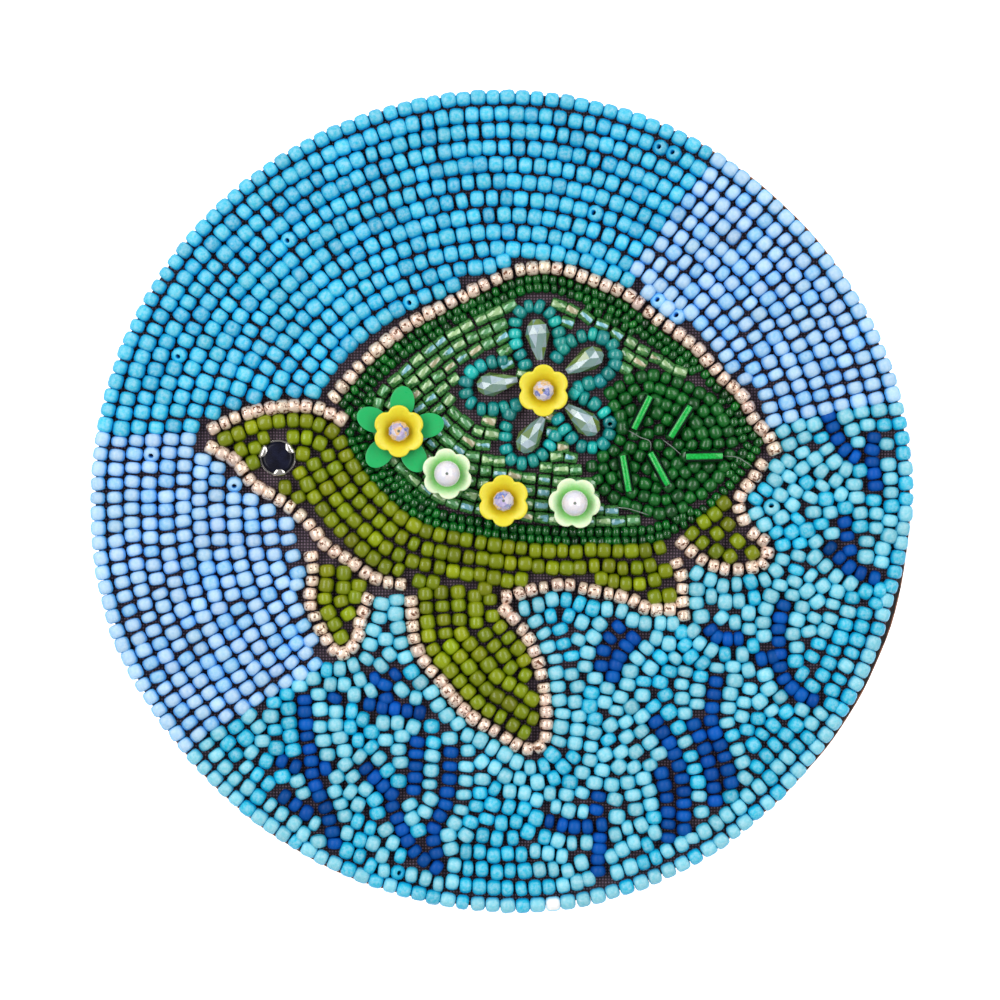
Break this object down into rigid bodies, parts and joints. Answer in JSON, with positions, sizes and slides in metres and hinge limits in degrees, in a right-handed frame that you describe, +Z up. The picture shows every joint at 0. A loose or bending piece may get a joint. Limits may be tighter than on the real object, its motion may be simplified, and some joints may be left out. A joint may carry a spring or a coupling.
{
  "type": "beaded coaster",
  "caption": "Round bead-embroidered coaster showing a sea turtle, with crystal drops, bugle beads and plastic flowers that turn on their stitches.",
  "frame": {"origin": "middle of the underside, where the coaster rests", "axes": "+Z up out of the beadwork, +Y to the top of the picture, -X the way the turtle faces"},
  "size_m": [0.1016, 0.1014, 0.009],
  "materials": {
    "backing_leatherette": "matt dark brown leatherette with a fine grain and a raw copper-brown edge",
    "stiffener_board": "plain grey-brown board, hidden inside",
    "ground_fabric": "dark grey-mauve plain-weave fabric, seen between the beads",
    "turquoise_beads": "opaque turquoise seed beads with a dull gloss",
    "haze_beads": "opaque pale periwinkle seed beads with a dull gloss",
    "aqua_beads": "opaque pale aqua and bright cyan seed beads",
    "royal_beads": "opaque royal blue seed beads",
    "gold_beads": "champagne gold metal-coated beads, pitted",
    "olive_beads": "opaque olive green seed beads, glossy",
    "rim_beads": "small transparent dark green beads",
    "tube_beads": "light green tube beads with a rainbow coating",
    "leaf_beads": "transparent dark green round beads",
    "teal_beads": "glossy teal seed beads",
    "drop_crystal": "clear to pale green faceted drops",
    "yellow_plastic": "moulded yellow flower, satin",
    "pale_plastic": "moulded pale green flower with a cream rim",
    "green_plastic": "flat mid green flower sequin",
    "aurora_crystal": "small faceted crystal with a rainbow coating",
    "pearl": "imitation pearl",
    "bugle_glass": "bright green silver-lined tube",
    "eye_stone": "near-black blue flat stone",
    "claw_setting": "thin silver-coloured metal",
    "clear_thread": "clear nylon beading thread"
  },
  "bodies": {
    "coaster": {"backing": "backing_leatherette", "body_beads": "olive_beads", "bugle_bead_lower_left": "bugle_glass", "bugle_bead_lower_right": "bugle_glass", "bugle_bead_right": "bugle_glass", "bugle_bead_upper_left": "bugle_glass", "bugle_bead_upper_right": "bugle_glass", "crystal_bead_middle": "aurora_crystal", "crystal_bead_petals": "aurora_crystal", "crystal_bead_shoulder": "aurora_crystal", "crystal_drop_bottom": "drop_crystal", "crystal_drop_left": "drop_crystal", "crystal_drop_lower_right": "drop_crystal", "crystal_drop_top": "drop_crystal", "crystal_drop_upper_right": "drop_crystal", "edge_bead_row": "turquoise_beads", "eye_claw_setting": "claw_setting", "eye_stone": "eye_stone", "far_flipper_beads": "olive_beads", "front_flipper_beads": "olive_beads", "gold_string_belly": "gold_beads", "gold_string_far_flipper": "gold_beads", "gold_string_front_flipper": "gold_beads", "gold_string_head": "gold_beads", "gold_string_rear_flipper": "gold_beads", "gold_string_rump": "gold_beads", "gold_string_shell": "gold_beads", "gold_string_tail": "gold_beads", "gold_string_throat": "gold_beads", "ground_fabric": "ground_fabric", "haze_beads_left": "haze_beads", "haze_beads_right": "haze_beads", "leaf_beads": "leaf_beads", "pearl_bead_left": "pearl", "pearl_bead_right": "pearl", "petal_loop_bottom": "teal_beads", "petal_loop_left": "teal_beads", "petal_loop_lower_right": "teal_beads", "petal_loop_top": "teal_beads", "petal_loop_upper_right": "teal_beads", "rear_flipper_beads": "olive_beads", "shell_rim_beads": "rim_beads", "shell_tube_beads": "tube_beads", "sky_beads": "turquoise_beads", "stiffener_board": "stiffener_board", "stitch_pale_flower_left": "clear_thread", "stitch_pale_flower_right": "clear_thread", "stitch_yellow_flower_middle": "clear_thread", "stitch_yellow_flower_petals": "clear_thread", "stitch_yellow_flower_shoulder": "clear_thread", "water_beads": "aqua_beads", "wave_string_far_right": "royal_beads", "wave_string_left": "royal_beads", "wave_string_right": "royal_beads"},
    "star_flower": {"star_flower": "green_plastic"},
    "shoulder_flower": {"yellow_flower_shoulder": "yellow_plastic"},
    "middle_flower": {"yellow_flower_middle": "yellow_plastic"},
    "petals_flower": {"yellow_flower_petals": "yellow_plastic"},
    "left_pale_flower": {"pale_flower_left": "pale_plastic"},
    "right_pale_flower": {"pale_flower_right": "pale_plastic"}
  },
  "joints": [
    {"name": "star_flower_spin", "type": "hinge", "parent": "coaster", "child": "star_flower", "pos_m": [-0.0126, 0.0083, 0.0052], "axis": [0, 0, 1], "continuous": true},
    {"name": "shoulder_flower_spin", "type": "hinge", "parent": "coaster", "child": "shoulder_flower", "pos_m": [-0.0126, 0.0083, 0.0052], "axis": [0, 0, 1], "continuous": true},
    {"name": "middle_flower_spin", "type": "hinge", "parent": "coaster", "child": "middle_flower", "pos_m": [0.0002, -0.0002, 0.0052], "axis": [0, 0, 1], "continuous": true},
    {"name": "petals_flower_spin", "type": "hinge", "parent": "coaster", "child": "petals_flower", "pos_m": [0.0051, 0.0133, 0.0052], "axis": [0, 0, 1], "continuous": true},
    {"name": "left_pale_flower_spin", "type": "hinge", "parent": "coaster", "child": "left_pale_flower", "pos_m": [-0.0067, 0.0031, 0.0052], "axis": [0, 0, 1], "continuous": true},
    {"name": "right_pale_flower_spin", "type": "hinge", "parent": "coaster", "child": "right_pale_flower", "pos_m": [0.0089, -0.0005, 0.0052], "axis": [0, 0, 1], "continuous": true}
  ]
}
